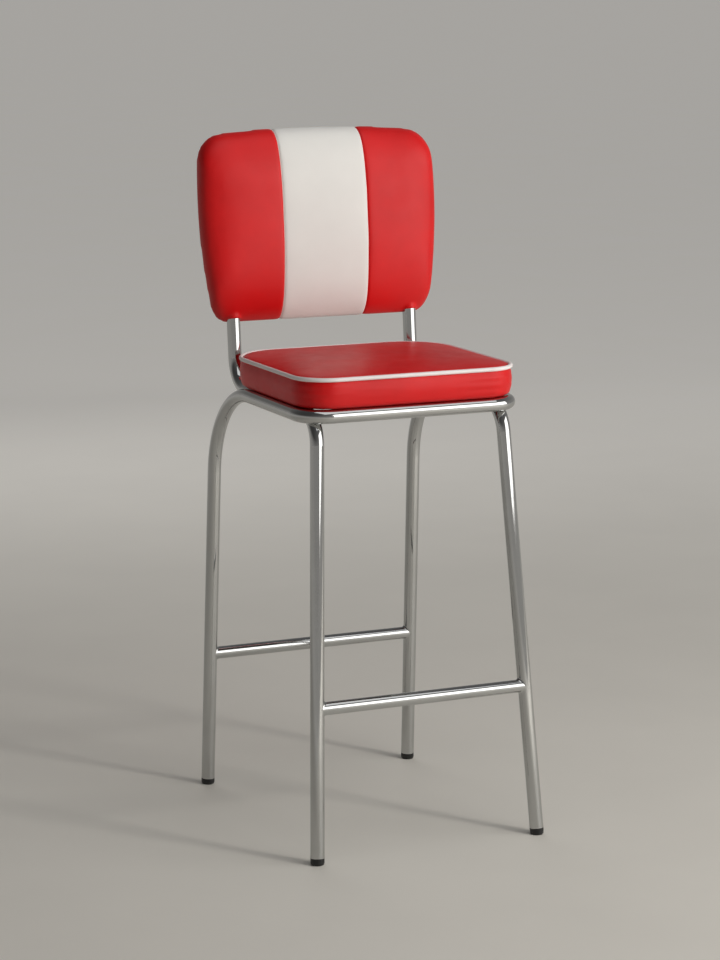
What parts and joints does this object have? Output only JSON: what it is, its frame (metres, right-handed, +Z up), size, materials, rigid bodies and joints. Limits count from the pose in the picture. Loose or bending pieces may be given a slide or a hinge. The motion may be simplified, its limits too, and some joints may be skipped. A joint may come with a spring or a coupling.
{
  "type": "diner counter stool",
  "caption": "Retro counter stool with a bent chrome tube frame, a red vinyl cushion edged in white piping, and a crowned red back pad with a white centre stripe.",
  "frame": {"origin": "on the floor, midway between the outermost points of the stool across and front to back", "axes": "+Z up; the seat's front faces -Y and the backrest rises at the +Y side; +X to the right as seen from the front"},
  "size_m": [0.4264, 0.5074, 1.1225],
  "materials": {
    "chrome_tube": "mirror-bright plated steel tube",
    "plain_steel": "zinc-plated fittings",
    "black_plastic": "satin moulded plastic",
    "red_vinyl": "glossy coated upholstery vinyl with a faint grain",
    "white_vinyl": "satin coated upholstery vinyl",
    "foam": "open-cell upholstery foam",
    "plywood": "raw plywood",
    "black_cloth": "thin woven dust cloth"
  },
  "bodies": {
    "root": {"rear_frame_tube": "chrome_tube", "left_side_tube": "chrome_tube", "right_side_tube": "chrome_tube", "front_rung": "chrome_tube", "rear_rung": "chrome_tube", "seat_cross_tube": "chrome_tube", "rail_welds": "chrome_tube", "foot_caps": "black_plastic", "seat_strap_front": "plain_steel", "seat_strap_rear": "plain_steel", "seat_screws": "plain_steel", "seat_board": "plywood", "seat_dust_cloth": "black_cloth", "seat_piping": "white_vinyl", "seat_foam": "foam", "seat_cover_band": "red_vinyl", "seat_cover_top": "red_vinyl", "back_tabs": "plain_steel", "back_bolts": "plain_steel", "back_board": "plywood", "back_rear_panel": "red_vinyl", "back_foam": "foam", "back_cover_left": "red_vinyl", "back_cover_centre": "white_vinyl", "back_cover_right": "red_vinyl"}
  },
  "joints": []
}
